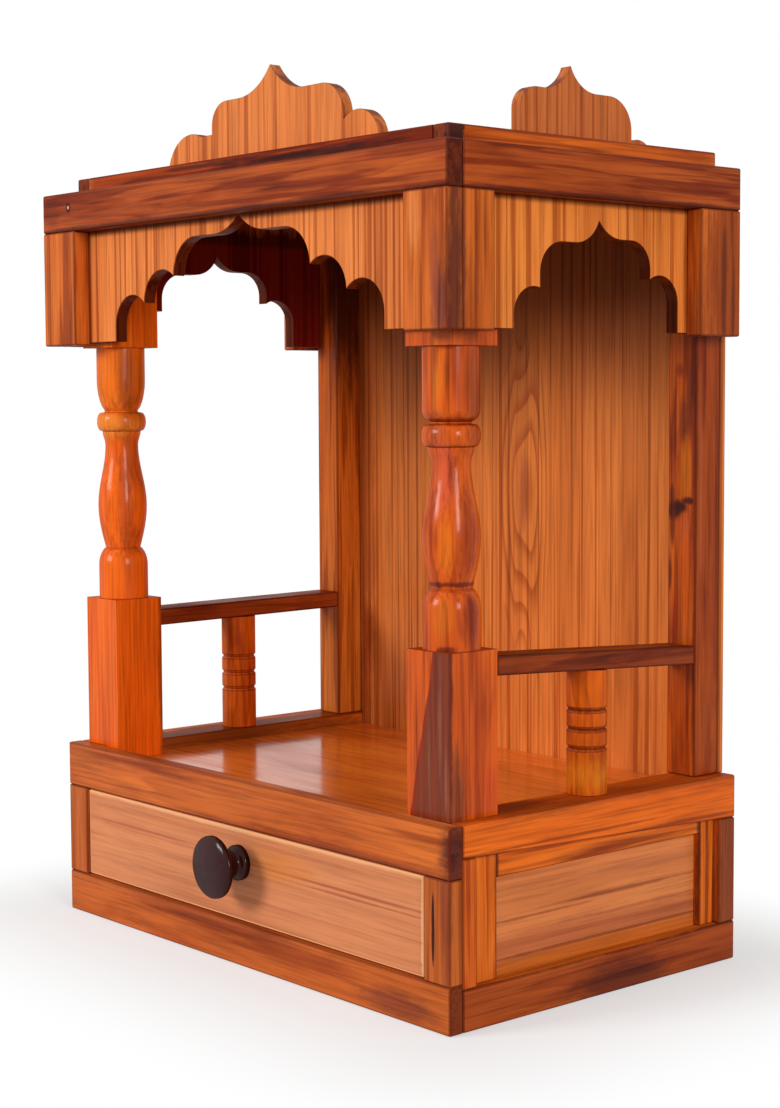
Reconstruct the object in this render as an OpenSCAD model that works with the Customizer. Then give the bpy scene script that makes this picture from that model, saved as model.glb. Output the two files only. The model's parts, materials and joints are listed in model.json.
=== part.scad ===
// Wooden home temple: a drawer base, four posts, side railings and a canopy
// with cusped arches and crests. X runs to the right along the front, Y to the
// back and Z up. The origin is on the underside, at the middle of the base.

/* [Base] */
// Width of the base box
base_w = 305; // [260:1:420]
// Depth of the base box
base_d = 190; // [160:1:280]
// Height of the base box
base_h = 91.5; // [84:0.5:130]
// Thickness of the strips that face the base
facing_t = 8; // [6:0.5:12]
// Height of the front rail above the drawer
front_top_rail_h = 23; // [20:0.5:30]
// Height of the rail below the drawer
bottom_rail_h = 21.5; // [18:0.5:28]
// Height of the side bottom rails
side_bottom_rail_h = 19; // [16:0.5:28]
// Width of the front stiles beside the drawer
front_stile_w = 17; // [14:0.5:24]
// Height of the side top rails, which carry the posts
side_top_rail_h = 14.5; // [10:0.5:18]
// Width of the front stile strip on each side
side_front_stile_w = 8.5; // [6:0.5:14]
// Width of the rear stile strip on each side
side_rear_stile_w = 11.5; // [6:0.5:16]
// How much lower the outer edge of the side top rails hangs at the back
rail_edge_fall = 6.5; // [0:0.5:7]
// Width of the front bead beside each side panel
front_bead_w = 15.5; // [6:0.5:20]
// Width of the top bead over each side panel
top_bead_w = 12; // [8:0.5:14]
// Width of the rear bead beside each side panel
rear_bead_w = 10; // [6:0.5:20]
// Thickness of the bead
bead_t = 4; // [2:0.5:6]
// Thickness of the plywood walls, bottom and back
ply_t = 4; // [3:0.5:6]
// Drop from the top of the rails to the platform
platform_drop = 6.5; // [3:0.5:10]
// Thickness of the platform
platform_t = 8; // [4:0.5:10]
// Radius of the worn outer edges of the base rails
worn_r = 1.2; // [0.5:0.1:2]

/* [Drawer] */
// Clearance round the drawer
drawer_gap = 0.8; // [0.5:0.1:1.5]
// How far the drawer front sits behind the frame
drawer_recess = 1; // [0:0.5:3]
// Thickness of the drawer front
drawer_front_t = 8; // [6:0.5:12]
// Thickness of the drawer sides and back
drawer_wall_t = 6; // [4:0.5:8]
// Thickness of the drawer bottom
drawer_bottom_t = 3; // [2:0.5:5]
// Height of the drawer sides
drawer_side_h = 36; // [24:1:42]
// Space left behind the drawer when it is shut
drawer_rear_gap = 16; // [4:1:60]
// Diameter of the knob head
knob_d = 30.5; // [20:0.5:36]
// How far the knob stands out from the drawer front
knob_len = 20; // [14:0.5:28]
// Height of the knob above the middle of the drawer front
knob_rise = 6; // [0:0.5:8]

/* [Posts] */
// Side of the square stock of the front pillars
pillar_w = 28.5; // [26:0.5:34]
// Side of the square rear posts
rear_post_w = 17.5; // [14:0.5:22]
// Height of the rail that joins the rear posts at the top
rear_top_rail_h = 12; // [8:0.5:20]
// Diameter of the turned cylinders
turned_d = 26; // [22:0.2:28]
// Diameter of the turned necks
neck_d = 17.6; // [12:0.2:22]
// Height of the square base block above the rails
block_h = 76.5; // [60:0.5:90]
// Height of the upright wall of the lower turned cylinder
drum_h = 17.5; // [12:0.5:26]
// Height of the rounded shoulder from the lower cylinder in to the waist
waist_h = 9.5; // [4:0.5:14]
// Height from the waist to the widest part of the belly
belly_h = 22.5; // [14:0.5:28]
// Height of the neck between the belly and the collar
throat_h = 7; // [4:0.5:12]
// Height of the rounded collar
collar_h = 10; // [7:0.5:14]
// Gap between the collar and the upper cylinder
collar_gap = 1; // [0.5:0.5:6]
// Height of the upper turned cylinder
capital_h = 33; // [24:0.5:40]
// Height of the rounded foot of the left upper cylinder
left_capital_round = 16; // [2:0.5:24]
// Height of the rounded foot of the right upper cylinder
right_capital_round = 5; // [2:0.5:24]
// How deep the posts are cut back for the arch boards
post_rebate = 2; // [0:0.5:4]
// How much higher the left pillar is turned than the middle line
left_turning_shift = 2.4; // [-4:0.2:4]
// How much higher the right pillar is turned than the middle line
right_turning_shift = -2.4; // [-4:0.2:4]

/* [Railings] */
// Height of the handrail underside at the front, above the rails
handrail_rise = 62; // [40:0.5:70]
// Height of the handrail itself
handrail_h = 9; // [6:0.5:12]
// Fall of the left handrail towards the back
left_handrail_fall = -1.5; // [-8:0.5:8]
// Fall of the right handrail towards the back
right_handrail_fall = 6.5; // [-8:0.5:8]
// Diameter of the turned balusters
baluster_d = 19; // [12:0.5:20]

/* [Canopy] */
// Height of the canopy underside above the floor
canopy_z = 304.5; // [280:0.5:340]
// Height of the corner boards up to the cornice
corner_board_h = 59.5; // [50:0.5:80]
// Width of the corner boards
corner_board_w = 28; // [20:0.5:40]
// Width of the left corner board on the front
left_front_board_w = 30; // [20:0.5:40]
// Height of the cornice
cornice_h = 20; // [14:0.5:28]
// Thickness of the corner boards and cornice
frame_t = 9.5; // [6:0.5:12]
// Thickness of the arch boards
arch_t = 7; // [5:0.5:9]
// How far the arch boards stop short of the underside of the canopy
arch_rise = 1.5; // [0.5:0.5:4]
// How far right of the middle the front arch is cut
front_arch_offset = 1.5; // [-6:0.5:6]
// How far the canopy stops short of the back of the posts
canopy_rear_gap = 3; // [0:0.5:6]
// Thickness of the roof board
roof_t = 8.5; // [5:0.5:12]
// Overhang of the roof board past the posts' outer faces
roof_lip = 1; // [0:0.5:6]
// How far the roof board stops short of the back of the canopy
roof_rear_gap = 2.5; // [0:0.5:6]

/* [Crests] */
// Thickness of the crest boards
crest_t = 6; // [5:0.5:10]
// How far right of the middle the front crest is cut
front_crest_offset = 1.5; // [-6:0.5:6]
// Distance from the roof edge back to the front crest
front_crest_setback = 16; // [4:0.5:24]
// Distance from the roof edge in to the side crests
side_crest_setback = 15; // [4:0.5:24]

/* [Hidden] */
$fn = 96;

// Wood colours
rail_colour = "#b5561c";
dark_rail_colour = "#7a3414";
veneer_colour = "#c07a3c";
post_colour = "#c85a18";
ply_colour = "#b8905c";
knob_colour = "#2c1410";

// Base box
half_w = base_w / 2;
front_y = -base_d / 2;
back_y = base_d / 2;
inner_x = half_w - facing_t;
inner_y = front_y + facing_t;
post_back_y = back_y - ply_t;
rail_bottom_z = base_h - side_top_rail_h;
rail_inner_x = inner_x - rear_post_w;
panel_inner_x = inner_x - ply_t;
platform_z = base_h - platform_drop;
drawer_top_z = base_h - front_top_rail_h;
opening_half_w = half_w - front_stile_w;

// Drawer
drawer_half_w = opening_half_w - drawer_gap;
drawer_low_z = bottom_rail_h + drawer_gap;
drawer_high_z = drawer_top_z - drawer_gap;
drawer_face_y = front_y + drawer_recess;
drawer_box_y = drawer_face_y + drawer_front_t;
drawer_end_y = post_back_y - drawer_rear_gap;
drawer_inner_half_w = drawer_half_w - drawer_wall_t;
knob_z = (drawer_low_z + drawer_high_z) / 2 + knob_rise;

// Posts
block_top_z = base_h + block_h;
canopy_top_z = canopy_z + corner_board_h + cornice_h;
cornice_z = canopy_z + corner_board_h;
pillar_x = inner_x - pillar_w / 2;
pillar_y = inner_y + pillar_w / 2;
rear_post_y = post_back_y - rear_post_w;

// Canopy
arch_inner_x = inner_x - post_rebate;
arch_inner_y = inner_y + post_rebate;
arch_z = canopy_z + arch_rise;
arch_outer_x = arch_inner_x + arch_t;
arch_outer_y = arch_inner_y - arch_t;
canopy_half_w = arch_outer_x + frame_t;
canopy_front_y = arch_outer_y - frame_t;
canopy_back_y = post_back_y - canopy_rear_gap;
roof_half_w = inner_x + roof_lip;
roof_front_y = inner_y - roof_lip;
roof_back_y = canopy_back_y - roof_rear_gap;
roof_z = canopy_top_z + roof_t;
canopy_mid_y = (inner_y + canopy_back_y) / 2;

// A box given by its low and high corners
module block(low, high) {
    translate(low) cube(high - low);
}

// Anything drawn for the right side, put on the left instead when side is -1
module on_side(side) {
    if (side > 0) children();
    else mirror([1, 0, 0]) children();
}

// ---- Base box -------------------------------------------------------------

module base_front_top_rail() {
    color(rail_colour)
        block([-half_w, front_y, drawer_top_z], [half_w, inner_y, base_h]);
}

module base_front_bottom_rail() {
    color(rail_colour)
        block([-half_w, front_y, 0], [half_w, inner_y, bottom_rail_h]);
}

module base_front_stiles() {
    color(rail_colour)
        for (side = [-1, 1])
            on_side(side)
                block([opening_half_w, front_y, bottom_rail_h], [half_w, inner_y, drawer_top_z]);
}

// The side top rail lies flat. Its outer top edge is rounded by wear, and its
// outer edge hangs lower towards the back.
module base_side_top_rail(side) {
    color(rail_colour)
        on_side(side)
            union() {
                translate([0, back_y, 0])
                    rotate([90, 0, 0])
                        linear_extrude(base_d - facing_t)
                            rail_section();
                rail_edge();
            }
}

module rail_section() {
    translate([rail_inner_x, rail_bottom_z])
        square([half_w - worn_r - rail_inner_x, side_top_rail_h]);
    translate([rail_inner_x, rail_bottom_z])
        square([half_w - rail_inner_x, side_top_rail_h - worn_r]);
    translate([half_w - worn_r, base_h - worn_r])
        circle(r = worn_r);
}

// The wedge of the outer edge that hangs below the rest of the side top rail
module rail_edge() {
    translate([inner_x, 0, 0])
        rotate([90, 0, 90])
            linear_extrude(facing_t)
                polygon([
                    [inner_y, rail_bottom_z], [back_y, rail_bottom_z],
                    [back_y, rail_bottom_z - rail_edge_fall]
                ]);
}

module base_side_bottom_rail(side) {
    color(dark_rail_colour)
        on_side(side)
            block([inner_x, inner_y, 0], [half_w, back_y, side_bottom_rail_h]);
}

module base_side_stiles(side) {
    color(rail_colour)
        on_side(side)
            difference() {
                union() {
                    block([inner_x, inner_y, side_bottom_rail_h],
                          [half_w, inner_y + side_front_stile_w, rail_bottom_z]);
                    block([inner_x, back_y - side_rear_stile_w, side_bottom_rail_h],
                          [half_w, back_y, rail_bottom_z]);
                }
                rail_edge();
            }
}

// A flat bead on three sides of each veneered side panel
module base_side_beads() {
    bead_front_y = inner_y + side_front_stile_w;
    bead_back_y = back_y - side_rear_stile_w;
    color(rail_colour)
        for (side = [-1, 1])
            on_side(side)
                difference() {
                    block([inner_x, bead_front_y, side_bottom_rail_h],
                          [inner_x + bead_t, bead_back_y, rail_bottom_z]);
                    block([inner_x - 1, bead_front_y + front_bead_w, side_bottom_rail_h - 1],
                          [inner_x + bead_t + 1, bead_back_y - rear_bead_w,
                           rail_bottom_z - top_bead_w]);
                    rail_edge();
                }
}

module base_side_panel(side) {
    color(veneer_colour)
        on_side(side)
            block([panel_inner_x, inner_y, 0], [inner_x, post_back_y, rail_bottom_z]);
}

module base_bottom_board() {
    color(ply_colour)
        block([-panel_inner_x, inner_y, 0], [panel_inner_x, post_back_y, ply_t]);
}

module base_back_board() {
    color(ply_colour)
        block([-inner_x, post_back_y, 0], [inner_x, back_y, rail_bottom_z]);
}

// Runners carry the drawer, and their upstands guide it
module drawer_runners() {
    runner_w = 20;
    upstand_h = 12;
    color(ply_colour)
        for (side = [-1, 1])
            on_side(side)
                union() {
                    block([panel_inner_x - runner_w, inner_y, ply_t],
                          [panel_inner_x, post_back_y, bottom_rail_h]);
                    block([opening_half_w, inner_y, bottom_rail_h],
                          [panel_inner_x, post_back_y, bottom_rail_h + upstand_h]);
                }
}

// Cleats under the edges of the platform and the side top rails
module platform_cleats() {
    cleat_w = 26;
    cleat_h = 8;
    cleat_top_z = platform_z - platform_t;
    color(ply_colour)
        for (side = [-1, 1])
            on_side(side)
                block([panel_inner_x - cleat_w, inner_y, cleat_top_z - cleat_h],
                      [panel_inner_x, post_back_y, cleat_top_z]);
}

module platform() {
    color(veneer_colour)
        block([-rail_inner_x, inner_y, platform_z - platform_t],
              [rail_inner_x, post_back_y, platform_z]);
}

// ---- Drawer ---------------------------------------------------------------

module drawer_front() {
    color(veneer_colour)
        block([-drawer_half_w, drawer_face_y, drawer_low_z],
              [drawer_half_w, drawer_box_y, drawer_high_z]);
}

module drawer_sides() {
    color(ply_colour)
        for (side = [-1, 1])
            on_side(side)
                block([drawer_inner_half_w, drawer_box_y, drawer_low_z],
                      [drawer_half_w, drawer_end_y, drawer_low_z + drawer_side_h]);
}

module drawer_back() {
    color(ply_colour)
        block([-drawer_inner_half_w, drawer_end_y - drawer_wall_t,
               drawer_low_z + drawer_bottom_t],
              [drawer_inner_half_w, drawer_end_y, drawer_low_z + drawer_side_h]);
}

module drawer_bottom() {
    color(ply_colour)
        block([-drawer_inner_half_w, drawer_box_y, drawer_low_z],
              [drawer_inner_half_w, drawer_end_y, drawer_low_z + drawer_bottom_t]);
}

// A turned knob: a small foot, a tapered neck and a wide head with a low dome
module drawer_knob() {
    head_r = knob_d / 2;
    foot_r = head_r * 0.57;
    neck_r = head_r * 0.4;
    foot_t = knob_len * 0.1;
    neck_z = knob_len * 0.28;
    rim_z = knob_len * 0.76;
    rim_t = knob_len * 0.07;
    color(knob_colour)
        translate([0, drawer_face_y, knob_z])
            rotate([90, 0, 0])
                rotate_extrude()
                    polygon(concat(
                        [[0, 0], [foot_r, 0], [foot_r, foot_t]],
                        s_curve([foot_r, foot_t], [neck_r, neck_z], 6),
                        quarter_sweep([neck_r, neck_z], [head_r, rim_z], 10),
                        [[head_r, rim_z + rim_t]],
                        dome([head_r, rim_z + rim_t], knob_len, 10)));
}

// ---- Turned profiles ------------------------------------------------------

// Points [radius, height] of a smooth S between two stations
function s_curve(low, high, steps) = [
    for (i = [1:steps])
        let (t = i / steps)
        [low[0] + (high[0] - low[0]) * (1 - cos(180 * t)) / 2, low[1] + (high[1] - low[1]) * t]
];

// Points of a quarter sweep that leaves the low station upright
function quarter_sweep(low, high, steps) = [
    for (i = [1:steps])
        let (t = i / steps)
        [low[0] + (high[0] - low[0]) * (1 - cos(90 * t)), low[1] + (high[1] - low[1]) * sin(90 * t)]
];

// Points of a low dome from its rim to its top on the axis
function dome(rim, top_z, steps) = [
    for (i = [1:steps])
        let (a = 90 * i / steps)
        [rim[0] * cos(a), rim[1] + (top_z - rim[1]) * sin(a)]
];

// Points of a full rounded bead that stands out from radius r to r + rise
function bead_points(r, rise, low_z, high_z, steps) = [
    for (i = [0:steps])
        let (a = 180 * i / steps)
        [r + rise * pow(max(0, sin(a)), 0.7), (low_z + high_z) / 2 - (high_z - low_z) / 2 * cos(a)]
];

// ---- Pillars and posts ----------------------------------------------------

// The turned length between the two square blocks of a front pillar. Its upper
// cylinder has a rounded foot of height foot_h.
module turned_shaft(low_z, high_z, foot_h) {
    full_r = turned_d / 2;
    neck_r = neck_d / 2;
    drum_top_z = low_z + drum_h;
    waist_z = drum_top_z + waist_h;
    belly_z = waist_z + belly_h;
    capital_z = high_z - capital_h;
    bead_high_z = capital_z - collar_gap;
    bead_low_z = bead_high_z - collar_h;
    throat_z = bead_low_z - throat_h;
    rotate_extrude()
        polygon(concat(
            [[0, low_z], [full_r, low_z], [full_r, drum_top_z]],
            shoulder([full_r, drum_top_z], [neck_r + 0.4, waist_z], 8),
            swell([neck_r + 0.4, waist_z], [full_r - 0.1, belly_z], 9),
            s_curve([full_r - 0.1, belly_z], [neck_r - 0.1, throat_z], 14),
            s_curve([neck_r - 0.1, throat_z], [neck_r + 1.4, bead_low_z], 4),
            bead_points(neck_r + 1, full_r - neck_r - 1, bead_low_z, bead_high_z, 14),
            [[neck_r, bead_high_z + 0.3]],
            bowl([neck_r, capital_z], [full_r - 0.2, capital_z + foot_h], 8),
            [[full_r - 0.2, high_z], [0, high_z]]));
}

// Points from an upright wall over a rounded shoulder in to a smaller radius
function shoulder(low, high, steps) = [
    for (i = [1:steps])
        let (t = i / steps)
        [high[0] + (low[0] - high[0]) * pow(1 - t * t, 0.75), low[1] + (high[1] - low[1]) * t]
];

// Points from a small radius round the foot of a bowl to its upright wall
function bowl(low, high, steps) = [
    for (i = [0:steps])
        let (t = 1 - i / steps)
        [low[0] + (high[0] - low[0]) * pow(1 - t * t, 0.75), high[1] - (high[1] - low[1]) * t]
];

// Points that swell from a waist to the upright side of a belly
function swell(low, high, steps) = [
    for (i = [1:steps])
        let (t = i / steps)
        [low[0] + (high[0] - low[0]) * sin(90 * t), low[1] + (high[1] - low[1]) * t]
];

// A front pillar: one square length with its middle turned. The foot is
// notched over the side rail, so that its inner part stands on the platform,
// and the top is cut back for the two arch boards that meet on it.
module front_pillar(side, shift, foot_h) {
    block_top = block_top_z + shift;
    cap_low_z = canopy_z - 3.5 + shift;
    half = pillar_w / 2;
    color(post_colour)
        on_side(side)
            union() {
                difference() {
                    block([pillar_x - half, pillar_y - half, platform_z],
                          [pillar_x + half, pillar_y + half, block_top]);
                    block([rail_inner_x, pillar_y - half - 1, platform_z - 1],
                          [pillar_x + half + 1, pillar_y + half + 1, base_h]);
                }
                translate([pillar_x, pillar_y, 0])
                    turned_shaft(block_top, cap_low_z, foot_h);
                block([pillar_x - half, pillar_y - half, cap_low_z],
                      [pillar_x + half, pillar_y + half, arch_z]);
                block([pillar_x - half, arch_inner_y, cap_low_z],
                      [arch_inner_x, pillar_y + half, canopy_top_z]);
            }
}

module rear_post(side) {
    color(post_colour)
        on_side(side)
            difference() {
                block([rail_inner_x, rear_post_y, base_h], [inner_x, post_back_y, canopy_top_z]);
                block([arch_inner_x, rear_post_y - 1, arch_z],
                      [inner_x + 1, canopy_back_y, canopy_top_z + 1]);
            }
}

// The rear top rail joins the two rear posts under the back of the roof
module rear_top_rail() {
    color(post_colour)
        block([-rail_inner_x, rear_post_y, canopy_top_z - rear_top_rail_h],
              [rail_inner_x, post_back_y, canopy_top_z]);
}

// The back panel drops between the side rails to the platform cleats
module back_panel() {
    color(veneer_colour)
        union() {
            block([-inner_x, post_back_y, base_h], [inner_x, back_y, canopy_top_z]);
            block([-rail_inner_x, post_back_y, rail_bottom_z], [rail_inner_x, back_y, base_h]);
        }
}

// ---- Side railings --------------------------------------------------------

// Side view of a handrail that falls towards the back
module handrail_side_view(fall) {
    low_y = pillar_y + pillar_w / 2;
    low_z = base_h + handrail_rise;
    polygon([
        [low_y, low_z], [rear_post_y, low_z - fall],
        [rear_post_y, low_z - fall + handrail_h], [low_y, low_z + handrail_h]
    ]);
}

module handrail(side, fall) {
    color(dark_rail_colour)
        on_side(side)
            translate([rail_inner_x, 0, 0])
                rotate([90, 0, 90])
                    linear_extrude(rear_post_w)
                        handrail_side_view(fall);
}

// A baluster: a plain cylinder with three turned grooves round its middle
module baluster(side, fall) {
    groove_t = 2.4;
    groove_depth = 1;
    groove_pitch = 9;
    mid_y = (pillar_y + pillar_w / 2 + rear_post_y) / 2;
    mid_z = base_h + handrail_rise / 2;
    low_y = pillar_y + pillar_w / 2;
    low_z = base_h + handrail_rise;
    color(post_colour)
        on_side(side)
            difference() {
                translate([(rail_inner_x + inner_x) / 2, mid_y, base_h])
                    cylinder(d = baluster_d, h = handrail_rise + handrail_h);
                translate([(rail_inner_x + inner_x) / 2, mid_y, mid_z])
                    for (i = [-1:1])
                        translate([0, 0, i * groove_pitch])
                            rotate_extrude()
                                polygon([
                                    [baluster_d / 2 - groove_depth, 0],
                                    [baluster_d / 2 + 1, -groove_t],
                                    [baluster_d / 2 + 1, groove_t]
                                ]);
                translate([rail_inner_x - 1, 0, 0])
                    rotate([90, 0, 90])
                        linear_extrude(rear_post_w + 2)
                            polygon([
                                [low_y, low_z], [rear_post_y, low_z - fall],
                                [rear_post_y, low_z + 3 * handrail_h],
                                [low_y, low_z + 3 * handrail_h]
                            ]);
            }
}

// ---- Canopy ---------------------------------------------------------------

// The lobes on one side of a cusped form above the line v = 0. Each is given by
// [centre u, centre v, radius], from the outside in.
module lobe_stack(lobes) {
    last = lobes[len(lobes) - 1];
    for (lobe = lobes) {
        translate([lobe[0], lobe[1]]) circle(r = lobe[2]);
        if (lobe[1] >= 0) translate([-1, -1]) square([lobe[0] + lobe[2] + 1, lobe[1] + 1]);
    }
    translate([-1, -1]) square([last[0] + 1, last[1] + last[2] + 1]);
}

// The round that is cut from one side of an ogee tip
module ogee_cut(low_v, tip_w, apex_v) {
    rise = apex_v - low_v;
    sweep_r = (tip_w * tip_w + rise * rise) / (2 * rise);
    translate([tip_w, low_v + sweep_r]) circle(r = sweep_r);
}

// A cusped form, from the lobes of its low side and of its high side. The last
// lobes run in an ogee up to the apex, where the saw leaves a small flat. The
// tip gives the half width of the ogee and the height of the apex.
module cusped_form(low_lobes, high_lobes, tip) {
    tip_w = tip[0];
    apex_v = tip[1];
    low_top = low_lobes[len(low_lobes) - 1][1] + low_lobes[len(low_lobes) - 1][2];
    high_top = high_lobes[len(high_lobes) - 1][1] + high_lobes[len(high_lobes) - 1][2];
    tip_v = min(low_top, high_top) - 0.01;
    tip_flat = 0.4;
    mirror([1, 0]) lobe_stack(low_lobes);
    lobe_stack(high_lobes);
    difference() {
        translate([-tip_w, tip_v]) square([2 * tip_w, apex_v - tip_flat - tip_v]);
        mirror([1, 0]) ogee_cut(low_top, tip_w, apex_v);
        ogee_cut(high_top, tip_w, apex_v);
    }
}

front_arch_lobes = [[91, 9.5, 15.25], [64.25, 20.25, 16], [35.5, 32.25, 18.75]];
front_arch_tip = [20, 59.5];
side_arch_front_lobes = [[41.25, 7.75, 12.5], [23.5, 26.5, 14]];
side_arch_rear_lobes = [[41, 15.25, 12.5], [21.5, 30.25, 12.75]];
side_arch_tip = [15, 51];

module arch_board_front() {
    color(veneer_colour)
        translate([0, arch_inner_y, canopy_z])
            rotate([90, 0, 0])
                linear_extrude(arch_t)
                    difference() {
                        translate([-arch_outer_x, arch_rise])
                            square([2 * arch_outer_x, corner_board_h + cornice_h - arch_rise]);
                        translate([front_arch_offset, 0])
                            cusped_form(front_arch_lobes, front_arch_lobes, front_arch_tip);
                    }
}

module arch_board_side(side) {
    color(veneer_colour)
        on_side(side)
            translate([arch_inner_x, canopy_mid_y, canopy_z])
                rotate([90, 0, 90])
                    linear_extrude(arch_t)
                        difference() {
                            translate([arch_inner_y - canopy_mid_y, arch_rise])
                                square([canopy_back_y - arch_inner_y,
                                        corner_board_h + cornice_h - arch_rise]);
                            cusped_form(side_arch_front_lobes, side_arch_rear_lobes, side_arch_tip);
                        }
}

module corner_boards_front() {
    color(rail_colour) {
        block([-canopy_half_w, canopy_front_y, canopy_z],
              [-canopy_half_w + left_front_board_w, arch_outer_y, cornice_z]);
        block([canopy_half_w - corner_board_w, canopy_front_y, canopy_z],
              [canopy_half_w, arch_outer_y, cornice_z]);
    }
}

module corner_boards_side(side) {
    color(rail_colour)
        on_side(side) {
            block([arch_outer_x, arch_outer_y, canopy_z],
                  [canopy_half_w, canopy_front_y + corner_board_w, cornice_z]);
            block([arch_outer_x, canopy_back_y - corner_board_w, canopy_z],
                  [canopy_half_w, canopy_back_y, cornice_z]);
        }
}

module cornice_front() {
    color(dark_rail_colour)
        block([-canopy_half_w, canopy_front_y, cornice_z],
              [canopy_half_w, arch_outer_y, canopy_top_z]);
}

module cornice_side(side) {
    color(rail_colour)
        on_side(side)
            block([arch_outer_x, arch_outer_y, cornice_z],
                  [canopy_half_w, canopy_back_y, canopy_top_z]);
}

module roof_board() {
    color(rail_colour)
        block([-roof_half_w, roof_front_y, canopy_top_z], [roof_half_w, roof_back_y, roof_z]);
}

// ---- Crests ---------------------------------------------------------------

// A crest board is a cusped form that stands on the roof
module crest_outline(low_lobes, high_lobes, tip) {
    intersection() {
        cusped_form(low_lobes, high_lobes, tip);
        translate([-base_w, 0]) square([2 * base_w, base_w]);
    }
}

front_crest_left_lobes = [[66, -3, 20], [36.25, 18.75, 11.75]];
front_crest_right_lobes = [[65, 0, 15.5], [39, 14.25, 16]];
front_crest_tip = [26, 44];
// Width and height of the step beside the left lobe
front_crest_step = [66, 15];
side_crest_front_lobes = [[22, 13, 10]];
side_crest_rear_lobes = [[45.5, -5.5, 10], [26, 8, 15]];
side_crest_tip = [17, 34.5];

module crest_front() {
    color(veneer_colour)
        translate([front_crest_offset, roof_front_y + front_crest_setback + crest_t, roof_z])
            rotate([90, 0, 0])
                linear_extrude(crest_t) {
                    crest_outline(front_crest_left_lobes, front_crest_right_lobes, front_crest_tip);
                    translate([-front_crest_step[0], 0]) square(front_crest_step);
                }
}

module crest_side(side) {
    color(veneer_colour)
        on_side(side)
            translate([roof_half_w - side_crest_setback - crest_t, canopy_mid_y + 1, roof_z])
                rotate([90, 0, 90])
                    linear_extrude(crest_t)
                        crest_outline(side_crest_front_lobes, side_crest_rear_lobes, side_crest_tip);
}

base_front_top_rail();
base_front_bottom_rail();
base_front_stiles();
base_side_top_rail(-1);  // base_side_top_rail_left
base_side_top_rail(1);  // base_side_top_rail_right
base_side_bottom_rail(-1);  // base_side_bottom_rail_left
base_side_bottom_rail(1);  // base_side_bottom_rail_right
base_side_stiles(-1);  // base_side_stiles_left
base_side_stiles(1);  // base_side_stiles_right
base_side_beads();
base_side_panel(-1);  // base_side_panel_left
base_side_panel(1);  // base_side_panel_right
base_bottom_board();
base_back_board();
drawer_runners();
platform_cleats();
platform();
drawer_front();
drawer_sides();
drawer_back();
drawer_bottom();
drawer_knob();
front_pillar(-1, left_turning_shift, left_capital_round);  // front_pillar_left
front_pillar(1, right_turning_shift, right_capital_round);  // front_pillar_right
rear_post(-1);  // rear_post_left
rear_post(1);  // rear_post_right
rear_top_rail();
back_panel();
handrail(-1, left_handrail_fall);  // handrail_left
handrail(1, right_handrail_fall);  // handrail_right
baluster(-1, left_handrail_fall);  // baluster_left
baluster(1, right_handrail_fall);  // baluster_right
arch_board_front();
arch_board_side(-1);  // arch_board_left
arch_board_side(1);  // arch_board_right
corner_boards_front();
corner_boards_side(-1);  // corner_boards_left
corner_boards_side(1);  // corner_boards_right
cornice_front();
cornice_side(-1);  // cornice_left
cornice_side(1);  // cornice_right
roof_board();
crest_front();
crest_side(-1);  // crest_left
crest_side(1);  // crest_right
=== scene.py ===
"""Dresses the wooden home temple: eased boards, turned pillars, varnish and grain, over the fixed frame."""
import json
import math

import bmesh
import bpy
from mathutils import Matrix, Vector

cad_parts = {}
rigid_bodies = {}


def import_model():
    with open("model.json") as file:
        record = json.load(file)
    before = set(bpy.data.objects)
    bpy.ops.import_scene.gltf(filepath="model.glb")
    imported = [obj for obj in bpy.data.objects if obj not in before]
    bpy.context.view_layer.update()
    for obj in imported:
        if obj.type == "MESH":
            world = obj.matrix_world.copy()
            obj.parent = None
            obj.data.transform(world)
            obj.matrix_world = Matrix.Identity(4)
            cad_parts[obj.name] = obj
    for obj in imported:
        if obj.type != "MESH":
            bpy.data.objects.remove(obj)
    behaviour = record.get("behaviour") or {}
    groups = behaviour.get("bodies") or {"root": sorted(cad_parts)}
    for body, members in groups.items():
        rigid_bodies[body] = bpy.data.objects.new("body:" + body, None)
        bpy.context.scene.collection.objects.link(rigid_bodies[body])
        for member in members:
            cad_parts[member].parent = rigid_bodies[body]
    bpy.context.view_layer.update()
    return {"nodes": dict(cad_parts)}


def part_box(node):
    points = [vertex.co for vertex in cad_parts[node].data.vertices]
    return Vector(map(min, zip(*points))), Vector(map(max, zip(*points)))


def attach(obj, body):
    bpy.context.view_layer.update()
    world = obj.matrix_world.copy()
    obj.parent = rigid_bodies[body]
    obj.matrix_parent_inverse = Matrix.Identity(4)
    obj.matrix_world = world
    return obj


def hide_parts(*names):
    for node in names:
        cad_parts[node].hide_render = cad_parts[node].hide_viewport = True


bl_info = {
    "name": "Home Temple",
    "version": (1, 0, 0),
    "blender": (4, 5, 0),
    "location": "View3D > Sidebar > Home Temple",
    "description": "Wooden home temple with a drawer base, turned pillars and cusped arches",
    "category": "Object",
}

MM = 0.001

for spare in list(bpy.data.objects):
    bpy.data.objects.remove(spare)
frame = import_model()


def linear(red, green, blue):
    """A colour from 0 to 255 a channel, as the shaders want it."""
    steps = [value / 255 for value in (red, green, blue)]
    return tuple(s / 12.92 if s <= 0.04045 else ((s + 0.055) / 1.055) ** 2.4 for s in steps)


# ---------------------------------------------------------------- settings

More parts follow.
